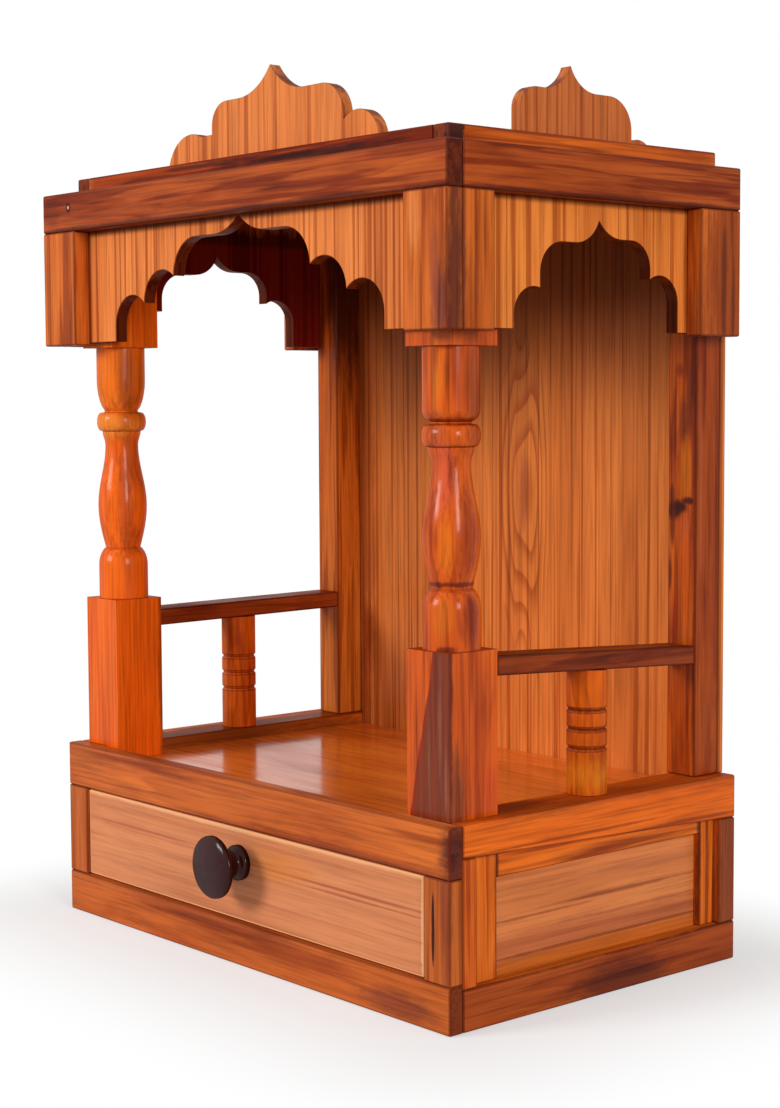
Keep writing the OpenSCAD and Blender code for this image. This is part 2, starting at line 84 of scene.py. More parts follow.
class TempleSizes(bpy.types.PropertyGroup):
    """Sizes that the finishing work adds to the frame."""

    board_easing: bpy.props.FloatProperty(
        name="Board easing",
        description="Width of the sanded edge on the solid wood rails and posts",
        default=0.9 * MM, min=0.1 * MM, max=2 * MM, unit="LENGTH")
    veneer_easing: bpy.props.FloatProperty(
        name="Veneer easing",
        description="Width of the sanded edge on the thin veneered boards",
        default=0.5 * MM, min=0.1 * MM, max=1.5 * MM, unit="LENGTH")
    bead_easing: bpy.props.FloatProperty(
        name="Bead easing",
        description="Width of the sanded edge on the beads of the base",
        default=0.5 * MM, min=0.1 * MM, max=1.5 * MM, unit="LENGTH")
    front_bead: bpy.props.FloatProperty(
        name="Front bead",
        description="Width of the bead in front of each side panel",
        default=15.5 * MM, min=8 * MM, max=24 * MM, unit="LENGTH")
    top_bead: bpy.props.FloatProperty(
        name="Top bead",
        description="Width of the bead above each side panel",
        default=12 * MM, min=6 * MM, max=18 * MM, unit="LENGTH")
    rear_bead: bpy.props.FloatProperty(
        name="Rear bead",
        description="Width of the bead behind each side panel",
        default=10 * MM, min=6 * MM, max=18 * MM, unit="LENGTH")
    roof_end: bpy.props.FloatProperty(
        name="Roof end board",
        description="Width of the narrow boards at the two ends of the roof",
        default=10 * MM, min=6 * MM, max=30 * MM, unit="LENGTH")


class TempleFinishes(bpy.types.PropertyGroup):
    """Colours of the woods and of the varnish."""

    rail: bpy.props.FloatVectorProperty(
        name="Rail wood", description="Orange varnished wood of the base rails",
        subtype="COLOR", default=linear(205, 100, 38), min=0, max=1)
    dark_rail: bpy.props.FloatVectorProperty(
        name="Dark rail wood", description="Brown varnished wood of the cornice, the roof and the handrails",
        subtype="COLOR", default=linear(176, 80, 36), min=0, max=1)
    post: bpy.props.FloatVectorProperty(
        name="Pillar wood", description="Glossy orange wood of the pillars, posts and balusters",
        subtype="COLOR", default=linear(222, 102, 28), min=0, max=1)
    veneer: bpy.props.FloatVectorProperty(
        name="Striped veneer", description="Ground colour of the striped veneer",
        subtype="COLOR", default=linear(226, 128, 66), min=0, max=1)
    drawer: bpy.props.FloatVectorProperty(
        name="Drawer veneer", description="Pale tan veneer of the drawer front and the side panels",
        subtype="COLOR", default=linear(216, 134, 88), min=0, max=1)
    plywood: bpy.props.FloatVectorProperty(
        name="Plain plywood", description="Unvarnished plywood of the drawer box and the bottom",
        subtype="COLOR", default=linear(200, 156, 104), min=0, max=1)
    inner: bpy.props.FloatVectorProperty(
        name="Inner stain", description="Dark stain on the inner faces of the canopy",
        subtype="COLOR", default=linear(134, 33, 19), min=0, max=1)
    knob: bpy.props.FloatVectorProperty(
        name="Dark knob", description="Dark turned wood of the knob",
        subtype="COLOR", default=linear(70, 26, 24), min=0, max=1)


class TempleStage(bpy.types.PropertyGroup):
    """The floor and the light."""

    floor: bpy.props.FloatVectorProperty(
        name="Floor", description="Colour of the plain floor",
        subtype="COLOR", default=linear(244, 243, 242), min=0, max=1)
    key_power: bpy.props.FloatProperty(
        name="Key light", description="Power of the large soft lamp at the front",
        default=30.0, min=0, max=200, unit="POWER")
    side_power: bpy.props.FloatProperty(
        name="Side light", description="Power of the soft lamp on the right",
        default=24.0, min=0, max=200, unit="POWER")
    sky: bpy.props.FloatProperty(
        name="Sky", description="Strength of the even light from all round",
        default=0.4, min=0, max=2)


def sizes():
    return bpy.context.scene.temple_sizes


def finishes():
    return bpy.context.scene.temple_finishes


# ---------------------------------------------------------------- materials

def add_node(tree, kind, inputs=None, **settings):
    """A shader node with its settings, and its inputs set or linked by name."""
    node = tree.nodes.new("ShaderNode" + kind)
    for key, value in settings.items():
        setattr(node, key, value)
    for key, value in (inputs or {}).items():
        if isinstance(value, bpy.types.NodeSocket):
            tree.links.new(value, node.inputs[key])
        else:
            node.inputs[key].default_value = value
    return node


def ramp(tree, factor, stops, interpolation="LINEAR"):
    """A colour ramp; each stop is a place and a colour or a grey."""
    node = add_node(tree, "ValToRGB", {"Fac": factor})
    node.color_ramp.interpolation = interpolation
    elements = node.color_ramp.elements
    while len(elements) < len(stops):
        elements.new(0.5)
    for element, (place, colour) in zip(elements, stops):
        element.position = place
        grey = isinstance(colour, (int, float))
        element.color = (colour, colour, colour, 1) if grey else (*colour[:3], 1)
    return node.outputs["Color"]


def mix(tree, factor, low, high, blend="MIX"):
    """Two colours mixed by a factor."""
    node = tree.nodes.new("ShaderNodeMix")
    node.data_type = "RGBA"
    node.blend_type = blend
    for key, value in (("Factor", factor), ("A", low), ("B", high)):
        socket = [s for s in node.inputs if s.name == key and s.enabled][0]
        if isinstance(value, bpy.types.NodeSocket):
            tree.links.new(value, socket)
        elif key == "Factor":
            socket.default_value = value
        else:
            socket.default_value = (*value[:3], 1)
    return [s for s in node.outputs if s.enabled][0]


def tint(colour, by):
    """The colour with each channel made lighter or darker."""
    return tuple(min(1.0, channel * amount) for channel, amount in zip(colour, by))


def toward(colour, other, amount):
    """The colour moved towards another one."""
    return tuple(a + (b - a) * amount for a, b in zip(colour, other))


def new_material(name, roughness, specular, coat=0.0, coat_roughness=0.1):
    """A node material with its varnish values on the shader's own sockets."""
    material = bpy.data.materials.new(name)
    material.use_nodes = True
    tree = material.node_tree
    shader = tree.nodes["Principled BSDF"]
    shader.inputs["Roughness"].default_value = roughness
    shader.inputs["Specular IOR Level"].default_value = specular
    shader.inputs["Coat Weight"].default_value = coat
    shader.inputs["Coat Roughness"].default_value = coat_roughness
    return material, tree, shader


def stretched(tree, along, across, detail=1.0, roughness=0.5, distortion=0.0):
    """A soft pattern drawn out along the board's grain; the scales are per metre."""
    source = add_node(tree, "Attribute", attribute_name="grain")
    place = add_node(tree, "Mapping", {"Vector": source.outputs["Vector"], "Scale": (along, across, across)})
    node = add_node(tree, "TexNoise", {"Vector": place.outputs["Vector"], "Scale": 1.0, "Detail": detail,
                                       "Roughness": roughness, "Distortion": distortion})
    return node.outputs["Fac"]


def sum_of(tree, operation, first, second):
    """One arithmetic step between two values."""
    node = add_node(tree, "Math", operation=operation)
    for number, value in enumerate((first, second)):
        if isinstance(value, bpy.types.NodeSocket):
            tree.links.new(value, node.inputs[number])
        else:
            node.inputs[number].default_value = value
    return node.outputs[0]


def smooth_step(tree, value, low, high, to_low=0.0, to_high=1.0):
    """A smooth change from one value to another."""
    node = add_node(tree, "MapRange", {"Value": value, "From Min": low, "From Max": high, "To Min": to_low,
                                       "To Max": to_high}, interpolation_type="SMOOTHSTEP")
    return node.outputs["Result"]


def egg_distance(tree, centre, radii):
    """How far a point is from an egg's middle, as a share of its radii, which are in millimetres."""
    place = add_node(tree, "TexCoord").outputs["Object"]
    off = add_node(tree, "VectorMath", operation="SUBTRACT")
    tree.links.new(place, off.inputs[0])
    off.inputs[1].default_value = [value * MM for value in centre]
    share = add_node(tree, "VectorMath", operation="DIVIDE")
    tree.links.new(off.outputs[0], share.inputs[0])
    share.inputs[1].default_value = [value * MM for value in radii]
    far = add_node(tree, "VectorMath", operation="LENGTH")
    tree.links.new(share.outputs[0], far.inputs[0])
    return far.outputs["Value"]


def height_step(tree, low, high, strength):
    """A soft change of strength between two heights, given in millimetres."""
    place = add_node(tree, "TexCoord").outputs["Object"]
    parts = add_node(tree, "SeparateXYZ", {"Vector": place})
    return smooth_step(tree, parts.outputs["Z"], low * MM, high * MM, 0.0, strength)


def beyond_line(tree, top, foot):
    """1 on a front face to the right of a line between two places of x and height, and under its top."""
    place = add_node(tree, "TexCoord").outputs["Object"]
    parts = add_node(tree, "SeparateXYZ", {"Vector": place}).outputs
    lean = (top[0] - foot[0]) / (top[1] - foot[1])
    off = sum_of(tree, "SUBTRACT", parts["X"], sum_of(tree, "MULTIPLY", parts["Z"], lean))
    start = (foot[0] - lean * foot[1]) * MM
    ragged = sum_of(tree, "MULTIPLY", stretched(tree, 60, 300, 2.0), 3 * MM)
    beyond = smooth_step(tree, sum_of(tree, "ADD", off, ragged), start + 1.2 * MM, start + 1.9 * MM)
    under = smooth_step(tree, parts["Z"], top[1] * MM, (top[1] + 2) * MM, 1.0, 0.0)
    front = smooth_step(tree, facing(tree, "inward"), 0.5, 0.7)
    return sum_of(tree, "MULTIPLY", sum_of(tree, "MULTIPLY", beyond, under), front)


def facing(tree, attribute):
    """The cosine between the surface and a direction kept on the piece."""
    direction = add_node(tree, "Attribute", attribute_name=attribute)
    normal = add_node(tree, "NewGeometry")
    dot = add_node(tree, "VectorMath", operation="DOT_PRODUCT")
    tree.links.new(direction.outputs["Vector"], dot.inputs[0])
    tree.links.new(normal.outputs["True Normal"], dot.inputs[1])
    return dot.outputs["Value"]


def set_bump(tree, shader, height, distance, strength=1.0):
    node = add_node(tree, "Bump", {"Height": height, "Distance": distance, "Strength": strength})
    tree.links.new(node.outputs["Normal"], shader.inputs["Normal"])


DARK = (0.5, 0.32, 0.24)
LIGHT = (1.25, 1.4, 1.3)


def timber(name, colour, wood):
    """Varnished wood: mottled ground, rings, long fibres, end grain, dark arrises, the board's own stains and knots,
    and on some boards painted light and shade.
    """
    get = dict(WOOD_HABIT, **wood).get
    material, tree, shader = new_material(name, get("roughness"), get("specular"), get("coat"), get("coat_roughness"))
    shader.inputs["Specular Tint"].default_value = (*toward((1, 1, 1), colour, 0.7), 1)
    if get("calm_rims"):
        turned_away = add_node(tree, "LayerWeight", {"Blend": 0.5}).outputs["Facing"]
        for socket, most in (("Coat Weight", get("coat")), ("Specular IOR Level", get("specular"))):
            tree.links.new(smooth_step(tree, turned_away, 0.3, 0.8, most, 0.1 * most), shader.inputs[socket])
    dark, light = tint(colour, get("dark")), tint(colour, get("light"))
    broad = stretched(tree, *get("mottle_scale"), 3.0, 0.6, 0.4)
    ground = ramp(tree, broad, [(0.3, toward(colour, dark, get("mottle"))), (0.5, colour),
                                (0.7, toward(colour, light, get("mottle")))])
    along, across, count, amount = get("figure")
    rings = sum_of(tree, "MULTIPLY", stretched(tree, along, across, 1.5, 0.45, 0.2), count)
    if get("heart"):
        centre, radii, swirl = get("heart")
        from_heart = egg_distance(tree, centre, radii)
        calm = smooth_step(tree, from_heart, 0.5, 1.3, 0.25, 1.0)
        rings = sum_of(tree, "MULTIPLY", sum_of(tree, "SUBTRACT", rings, count / 2), calm)
        rings = sum_of(tree, "ADD", rings, smooth_step(tree, from_heart, 0.0, 1.0, swirl, 0.0))
    rings = ramp(tree, sum_of(tree, "FRACT", rings, 0.0),
                 [(0.0, 0.0), (0.45, 0.12), (0.78, 0.8), (0.9, 1.0), (1.0, 0.0)])
    patchy = ramp(tree, stretched(tree, 7, 90, 2.0), [(0.35, 0.35 * amount), (0.62, amount)])
    if get("heart"):
        patchy = sum_of(tree, "MAXIMUM", patchy, smooth_step(tree, from_heart, 0.7, 1.0, 0.75, 0.0))
    toned = mix(tree, sum_of(tree, "MULTIPLY", rings, patchy), ground, dark)
    if get("inner"):
        turned_in = smooth_step(tree, facing(tree, "inward"), 0.4, 0.8)
        toned = mix(tree, turned_in, toned, tuple(finishes().inner))
    if get("sawn"):
        aside = smooth_step(tree, sum_of(tree, "ABSOLUTE", facing(tree, "inward"), 0.0), 0.2, 0.6, get("sawn"), 0.0)
        toned = mix(tree, aside, toned, tint(colour, (0.09, 0.025, 0.02)))
    ends = smooth_step(tree, sum_of(tree, "ABSOLUTE", facing(tree, "fibre_axis"), 0.0), 0.6, 0.85, 0.0, get("end"))
    toned = mix(tree, ends, toned, tint(colour, (0.22, 0.12, 0.1)))
    # Bands of painted shade by height: the darkened top of the back panel under the canopy, and the painted shadow line
    # under the cornice on the arch boards.
    for low, high, shade, strength in get("deepening"):
        painted_shade_band = height_step(tree, low, high, strength)
        # On the back panel the painted shade stays on its inner face.
        if get("heart"):
            painted_shade_band = sum_of(tree, "MULTIPLY", painted_shade_band, smooth_step(tree, facing(tree, "inward"), -0.2, 0.4))
        toned = mix(tree, painted_shade_band, toned, linear(*shade))
    for top, foot, shade in get("wedges"):
        toned = mix(tree, beyond_line(tree, top, foot), toned, linear(*shade))
    wobble = sum_of(tree, "ADD", stretched(tree, 30, 130, 1.0, 0.6), stretched(tree, 140, 520, 2.0, 0.6))
    wobble = sum_of(tree, "MULTIPLY", wobble, 0.8)
    # Egg-shaped marks: stains, knots, streaks and scratches, and on some boards painted light and shade.
    for centre, radii, shade, strength in get("marks"):
        reach = sum_of(tree, "ADD", egg_distance(tree, centre, radii), wobble)
        blur = 0.5 if strength < 1 else 0.22
        toned = mix(tree, smooth_step(tree, reach, 1.75 - blur, 1.75 + blur, strength, 0.0), toned, linear(*shade))
    fibre = stretched(tree, 18, 620, 3.0, 0.6, 0.2)
    toned = mix(tree, 1.0, toned, ramp(tree, fibre, [(0.3, 1 - get("fibre")), (0.55, 1.0)]), "MULTIPLY")
    along, across, threshold, amount = get("lines")
    lines = ramp(tree, stretched(tree, along, across, 2.0, 0.5), [(threshold, amount), (threshold + 0.07, 0.0)])
    toned = mix(tree, lines, toned, mix(tree, 1.0, toned, get("dark"), "MULTIPLY"))
    arris = add_node(tree, "Attribute", attribute_name="arris").outputs["Fac"]
    toned = mix(tree, sum_of(tree, "MULTIPLY", arris, abs(get("arris"))), toned,
                tint(light, (1.1, 1.3, 1.5)) if get("arris") < 0 else tint(colour, (0.2, 0.1, 0.08)))
    tree.links.new(toned, shader.inputs["Base Color"])
    sheen = get("roughness")
    tree.links.new(smooth_step(tree, broad, 0.3, 0.7, sheen + 0.08, max(sheen - 0.08, 0.05)),
                   shader.inputs["Roughness"])
    set_bump(tree, shader, fibre, 0.00005)
    return material


WOOD_HABIT = {
    "tone": "rail", "tint": (1, 1, 1), "dark": DARK, "light": LIGHT, "mottle": 0.55, "mottle_scale": (9, 50),
    "figure": (3.0, 34, 7, 0.6), "fibre": 0.4, "lines": (6, 170, 0.33, 0.7), "roughness": 0.4, "specular": 0.14,
    "coat": 0.04, "coat_roughness": 0.12, "arris": 0.6, "end": 0.85, "inner": False, "sawn": 0.0,
    "calm_rims": True, "heart": None, "deepening": (), "wedges": (), "marks": ()}

WOODS = {
    "front_top_rail": {
        "mottle": 0.7, "figure": (4, 60, 6, 0.45), "coat": 0.08,
        "marks": [((153, -91, 80), (8, 9, 12), (92, 32, 22), 0.97), ((60, -95, 70), (70, 4, 3), (150, 58, 24), 0.6),
                  ((-90, -95, 88), (50, 6, 3), (150, 62, 26), 0.5),
                  # Painted highlight: a pale strip along the front top edge beside the right pillar.
                  ((130, -88.5, 91.5), (20, 2.5, 2), (236, 140, 92), 0.7)]},
    "front_bottom_rail": {
        "tint": (0.92, 0.92, 0.95), "figure": (3, 40, 5, 0.35), "roughness": 0.45,
        "marks": [((116, -95, 7), (26, 4, 6), (124, 54, 36), 0.7), ((-20, -95, 18), (90, 4, 2.5), (146, 62, 30), 0.5)]},
    "stile": {
        "tint": (0.86, 0.9, 1.0), "figure": (4, 60, 5, 0.5),
        "marks": [((141.8, -95, 45), (0.8, 3, 16), (58, 18, 10), 1.5), ((150, -95, 55), (3, 3, 40), (128, 52, 36), 0.6)]},
    "side_top_rail": {
        "tint": (1.42, 1.18, 0.42), "figure": (3, 46, 5, 0.3), "coat": 0.08, "lines": (6, 170, 0.33, 0.4),
        "marks": [((152.5, 60, 73.5), (5, 45, 1.0), (120, 40, 14), 0.7), ((152.5, -20, 77.8), (5, 70, 0.7), (128, 44, 14), 0.6),
                  # Painted shadow and reflection: the dark patch on the rail top behind the right pillar.
                  ((136, -50, 91.5), (9, 30, 4), (96, 30, 14), 0.8),
                  # The last mark is painted shade: the whole left rail darkened as it lies in shade.
                  ((144, 20, 91.5), (16, 120, 2.5), (150, 56, 20), 0.6), ((-134, 0, 88), (16, 140, 10), (136, 66, 22), 0.98)]},
    "side_bottom_rail": {
        "tint": (0.62, 0.5, 0.45), "mottle": 0.8, "figure": (5, 70, 5, 0.7),
        # The first mark is dark heartwood; the second, the pale orange band on the ledge top, is painted light.
        "marks": [((152.5, 14, 5), (4, 34, 9), (74, 22, 16), 0.7), ((147, 0, 19), (6, 110, 2), (208, 106, 32), 1.3),
                  ((152.5, -70, 9), (4, 24, 8), (164, 72, 24), 0.6)]},
    "side_stile": {
        "tint": (1.35, 1.2, 0.8), "figure": (3, 90, 6, 0.7),
        "marks": [((152.5, 90, 45), (12, 9, 60), (118, 56, 30), 0.85)]},
    "bead": {
        "tint": (1.36, 1.32, 0.66), "figure": (3, 120, 5, 0.7), "lines": (8, 260, 0.42, 0.8),
        # The first mark is painted shadow: a dark line along the top bead under the rail.
        "marks": [((148.5, 0, 76.5), (6, 110, 1.6), (104, 40, 16), 0.9), ((148.5, 20, 68), (6, 40, 3), (160, 76, 36), 0.4),
                  ((148.5, -63, 40), (3, 1.3, 60), (110, 46, 20), 0.9), ((148.5, 73, 40), (3, 1.6, 60), (96, 38, 16), 0.9),
                  ((148.5, 79, 40), (3, 1.0, 60), (120, 56, 26), 0.8), ((148.5, -77.5, 40), (3, 0.8, 60), (120, 50, 18), 0.8)]},
    "panel": {
        "tone": "drawer", "tint": (1.04, 0.9, 0.64), "mottle": 0.35, "figure": (1.2, 60, 5, 0.3),
        "lines": (4, 240, 0.38, 0.25), "fibre": 0.25,
        "marks": [((144.5, 22, 45.2), (2, 46, 0.9), (128, 56, 30), 0.7), ((144.5, -36, 42.6), (2, 36, 0.7), (136, 60, 34), 0.6),
                  ((144.5, 30, 36), (2, 44, 0.7), (140, 66, 40), 0.45), ((144.5, 40, 55), (2, 60, 3), (182, 100, 64), 0.4),
                  # The pale orange strip at the foot of the panel, (144.5, 0, 21), is painted light carried on from the
                  # lit ledge below.
                  ((144.5, 0, 28), (2, 110, 9), (178, 88, 56), 0.5), ((144.5, 0, 21), (2, 140, 4.6), (206, 108, 38), 0.95),
                  ((144.5, 10, 25.6), (2, 120, 0.8), (124, 52, 24), 0.7)]},
    "drawer_front": {
        "tone": "drawer", "mottle": 0.25, "figure": (1.0, 60, 5, 0.2), "lines": (4, 240, 0.38, 0.2), "fibre": 0.22,
        "arris": -1.0,
        "marks": [((80, -94, 51.3), (75, 3, 0.7), (158, 72, 48), 0.7), ((90, -94, 48.6), (60, 3, 0.6), (158, 72, 48), 0.6),
                  ((-80, -94, 53.7), (60, 3, 0.7), (170, 84, 56), 0.55), ((-60, -94, 51.5), (50, 3, 0.5), (176, 92, 62), 0.4),
                  ((0, -94, 62), (120, 3, 1.2), (188, 104, 66), 0.4), ((20, -94, 33), (110, 3, 1.5), (188, 104, 70), 0.35),
                  ((34, -94, 54), (22, 3, 7), (214, 124, 56), 0.6), ((0, -94, 66.6), (180, 3, 0.9), (244, 176, 122), 0.8),
                  ((133.8, -94, 45), (0.8, 3, 30), (246, 190, 140), 0.8)]},
    "platform": {
        "tone": "dark_rail", "tint": (2.1, 2.6, 1.2), "mottle": 0.5, "figure": (3, 36, 5, 0.2), "roughness": 0.2,
        "lines": (6, 170, 0.33, 0.3), "specular": 0.12, "coat": 0.17, "coat_roughness": 0.06, "calm_rims": False,
        "arris": 0.3},
    "left_pillar": {
        "tone": "post", "tint": (1.17, 0.92, 0.42), "mottle": 0.45, "figure": (3, 44, 5, 0.2), "roughness": 0.34,
        "coat": 0.16, "coat_roughness": 0.14, "end": 0.5, "lines": (6, 170, 0.33, 0.2), "arris": 0.8,
        "marks": [((-130, -80, 285), (20, 20, 26), (236, 114, 22), 0.85), ((-130, -80, 262), (20, 20, 6), (236, 140, 50), 0.6),
                  # (-119, -76, 285) and (-121, -74, 222) darken the pillar's inner side: partly darker wood, partly
                  # painted shade.
                  ((-119, -76, 285), (2.5, 8, 22), (150, 62, 20), 0.7), ((-121, -74, 222), (3, 8, 40), (170, 70, 26), 0.6),
                  ((-116, -58.5, 130), (2.2, 2.2, 60), (126, 50, 18), 0.8)]},
    "right_pillar": {
        "tone": "post", "tint": (0.92, 0.74, 0.5), "mottle": 0.8, "mottle_scale": (12, 60), "figure": (4, 60, 5, 0.4),
        "lines": (9, 240, 0.38, 0.6), "roughness": 0.34, "coat": 0.17, "coat_roughness": 0.12, "end": 0.5, "arris": 0.75,
        "wedges": [((134, 166.5), (118.5, 94), (142, 42, 12)), ((135.5, 166.5), (120.5, 94), (126, 50, 22))],
        "marks": [((144.5, -84, 100), (3, 5, 22), (140, 66, 32), 0.85), ((138, -87, 130), (1.0, 2, 34), (158, 96, 78), 0.5),
                  ((131, -87, 112), (0.9, 2, 20), (152, 90, 72), 0.5), ((141.5, -87, 108), (0.9, 2, 18), (154, 92, 74), 0.5), ((144.8, -87, 140), (1.2, 1.6, 60), (92, 26, 8), 0.9),
                  ((144.5, -62, 104), (3, 7, 10), (208, 72, 26), 0.6),
                  ((134, -87, 286), (4, 4, 18), (216, 112, 26), 0.8), ((139, -84, 286), (1.6, 1.6, 14), (140, 60, 16), 0.8),
                  # (144.5, -72, 283), (143.7, -74, 218) and (144.5, -73, 180) darken the pillar's right side: partly
                  # darker wood, partly painted shade.
                  ((144.5, -72, 283), (4, 5.5, 22), (146, 62, 20), 0.7), ((146, -68, 290), (3, 3, 8), (206, 112, 34), 0.5),
                  ((134, -86, 262), (5, 5, 9), (160, 76, 36), 0.6),
                  ((135.5, -82, 244), (5, 5, 18), (206, 84, 54), 0.7),
                  ((138.4, -84, 211), (4.5, 4.5, 14), (224, 108, 20), 0.9), ((143.7, -74, 218), (4, 6, 36), (146, 50, 20), 0.7),
                  ((130.25, -72.75, 194.6), (17, 17, 1.3), (104, 30, 12), 0.9), ((137, -85, 180), (4.5, 4.5, 10), (214, 106, 24), 0.8),
                  ((144.5, -73, 180), (4, 6, 13), (136, 44, 16), 0.7)]},
    "rear_post": {
        "tone": "post", "tint": (0.66, 0.58, 0.42), "mottle": 0.9, "mottle_scale": (16, 70), "figure": (6, 90, 5, 0.6),
        "roughness": 0.36, "coat": 0.06, "lines": (9, 240, 0.4, 0.8),
        "marks": [((143.8, 73.5, 290), (1.1, 2, 30), (86, 30, 14), 0.8), ((140.5, 73.5, 276), (1.6, 2, 18), (98, 36, 16), 0.7),
                  ((136.5, 73.5, 263), (2.6, 2, 12), (92, 34, 16), 0.7), ((131, 73.5, 255), (1.2, 2, 28), (104, 40, 18), 0.6),
                  ((137.7, 73.5, 240), (4.5, 3, 14), (190, 96, 18), 0.8), ((134.2, 73.5, 289), (2.4, 2, 3), (132, 38, 16), 0.6),
                  ((131, 73.5, 221.5), (4.5, 3, 4.6), (64, 22, 8), 0.98), ((135, 73.5, 223), (4, 3, 3), (56, 18, 8), 0.98),
                  ((140, 73.5, 226), (4.5, 3, 1.7), (78, 26, 10), 0.98), ((129.6, 73.5, 229), (2, 3, 5), (104, 36, 14), 0.8),
                  ((130, 73.5, 214), (1.6, 3, 9), (92, 32, 12), 0.8), ((138, 73.5, 213), (3, 3, 6), (196, 90, 44), 0.5),
                  ((139, 73.5, 203), (4, 3, 6), (200, 84, 24), 0.6), ((128.4, 73.5, 190), (1.3, 3, 9), (84, 22, 12), 0.8),
                  ((132, 73.5, 170), (3, 3, 8), (176, 62, 20), 0.5), ((144, 73.5, 200), (0.8, 1.5, 120), (92, 34, 16), 0.7),
                  ((144.5, 82, 230), (2, 16, 150), (138, 54, 18), 0.5), ((144.5, 77.5, 236), (2, 1.1, 40), (184, 94, 60), 0.4), ((144.5, 89, 200), (2, 1.6, 120), (112, 40, 16), 0.6),
                  ((-134, 78, 120), (22, 26, 90), (208, 112, 36), 0.85), ((-130, 76, 230), (14, 14, 70), (200, 98, 28), 0.8),
                  ((-127, 80, 345), (8, 20, 60), (70, 24, 14), 0.9)]},
    "back_veneer": {
        "tone": "veneer", "tint": (0.98, 0.95, 0.72), "mottle": 0.4, "mottle_scale": (4, 40), "figure": (0.6, 50, 10, 0.22),
        "lines": (1.6, 280, 0.4, 0.75), "fibre": 0.32, "heart": ((9, 91, 226), (24, 12, 100), 4.0),
        # Painted shade: the top of the back panel darkened where the canopy shades it.
        "deepening": [(228, 345, (104, 42, 18), 0.75)],
        "marks": [((9, 91, 226), (3, 3, 20), (150, 76, 46), 0.6), ((126, 91, 240), (6, 3, 110), (142, 66, 32), 0.6),
                  ((-121, 91, 240), (8, 3, 160), (146, 64, 26), 0.6)]},
    "arch_veneer": {
        "tone": "veneer", "tint": (1.1, 1.1, 1.08), "mottle": 0.35, "mottle_scale": (3, 40), "figure": (0.5, 70, 8, 0.22), "lines": (2.0, 300, 0.4, 0.8),
        "fibre": 0.32, "specular": 0.08, "coat": 0.0, "inner": True, "sawn": 0.97,
        # Painted shadow: a dark line along the top of the board under the cornice.
        "deepening": [(360, 363.5, (88, 30, 12), 0.9)],
        "marks": [((30, -87.6, 352), (34, 3, 9), (130, 60, 28), 0.9)]},
    "side_veneer": {
        "tone": "veneer", "tint": (1.13, 1.14, 0.8), "mottle": 0.5, "mottle_scale": (3, 40), "figure": (0.5, 70, 8, 0.2),
        "lines": (2.0, 300, 0.4, 0.85), "fibre": 0.32, "specular": 0.08, "coat": 0.0, "inner": True, "sawn": 0.97,
        # Painted shadow: a dark line along the top of the board under the cornice.
        "deepening": [(360.5, 364, (88, 30, 12), 0.9)],
        # Painted light: a pale band high on the inner face of the left arch board.
        "marks": [((-142.5, 30, 384), (2, 70, 14), (176, 88, 40), 1.2)]},
    "crest_veneer": {
        "tone": "veneer", "tint": (1.02, 1.02, 0.95), "mottle": 0.35, "mottle_scale": (4, 60), "figure": (0.5, 80, 9, 0.2),
        "lines": (2.0, 300, 0.4, 0.7), "fibre": 0.32, "sawn": 0.2,
        "marks": [((133, 0, 412), (7, 90, 60), (164, 74, 34), 0.45)]},
    "corner_board": {
        "tone": "rail", "tint": (1.0, 1.0, 0.82), "mottle": 0.75, "mottle_scale": (10, 60), "figure": (5, 80, 5, 0.6),
        "lines": (8, 240, 0.4, 0.7), "end": 0.6,
        "marks": [((155, -101.5, 314), (5, 3, 16), (108, 46, 40), 0.8), ((151, -101.5, 330), (3, 3, 18), (140, 62, 44), 0.6),
                  ((159, -96.7, 334), (1.6, 5.2, 60), (88, 36, 24), 0.9), ((138, -101.5, 352), (4, 3, 14), (236, 140, 72), 0.6),
                  ((136, -101.5, 318), (4, 3, 12), (222, 116, 52), 0.5), ((159, 78, 334), (12, 16, 60), (146, 58, 12), 0.8),
                  ((159, 76, 330), (3, 2, 30), (84, 30, 10), 0.8), ((159, -84, 330), (3, 1, 26), (140, 58, 18), 0.7),
                  ((159, -88, 322), (3, 1, 18), (146, 62, 20), 0.6), ((159, 83, 322), (3, 1.2, 20), (96, 36, 12), 0.7)]},
    "cornice": {
        "tone": "dark_rail", "tint": (0.98, 0.92, 0.6), "mottle": 0.85, "mottle_scale": (14, 90), "figure": (8, 150, 4, 0.6),
        "lines": (12, 260, 0.44, 0.9), "end": 0.9, "dark": (0.55, 0.36, 0.18),
        # The dark lines along the lower edge of the cornice, at the front and on the side, are painted shadow.
        "marks": [((0, -101.5, 364.5), (200, 3, 1.6), (84, 28, 14), 0.8),
                  ((159, 0, 364.5), (3, 130, 1.4), (84, 28, 12), 0.8), ((159, 0, 374), (3, 70, 5), (172, 76, 20), 0.5),
                  ((-150, -101.5, 374), (8, 3, 7), (120, 44, 20), 0.6),
                  ((-134, -101.5, 376), (2.4, 3, 2.4), (70, 24, 14), 1.2), ((-134, -101.5, 376.3), (0.9, 3, 0.9), (226, 150, 130), 1.6)]},
    "roof": {
        "tone": "dark_rail", "tint": (0.96, 0.68, 0.28), "specular": 0.08, "mottle": 0.8, "figure": (6, 120, 5, 0.8), "lines": (10, 260, 0.44, 0.9),
        "inner": True, "end": 0.0,
        "marks": [((45, -88, 388), (60, 4, 1.8), (58, 22, 16), 0.9), ((-30, -88, 390), (40, 4, 1.2), (70, 28, 16), 0.8),
                  ((145, -88, 388), (9, 5, 8), (66, 26, 20), 1.2), ((-140, -88, 388), (9, 4, 6), (176, 84, 40), 1.2)]},
    "roof_edge": {
        "tone": "dark_rail", "tint": (1.5, 1.5, 0.55), "mottle": 0.7, "figure": (5, 120, 5, 0.5), "lines": (8, 240, 0.42, 0.7),
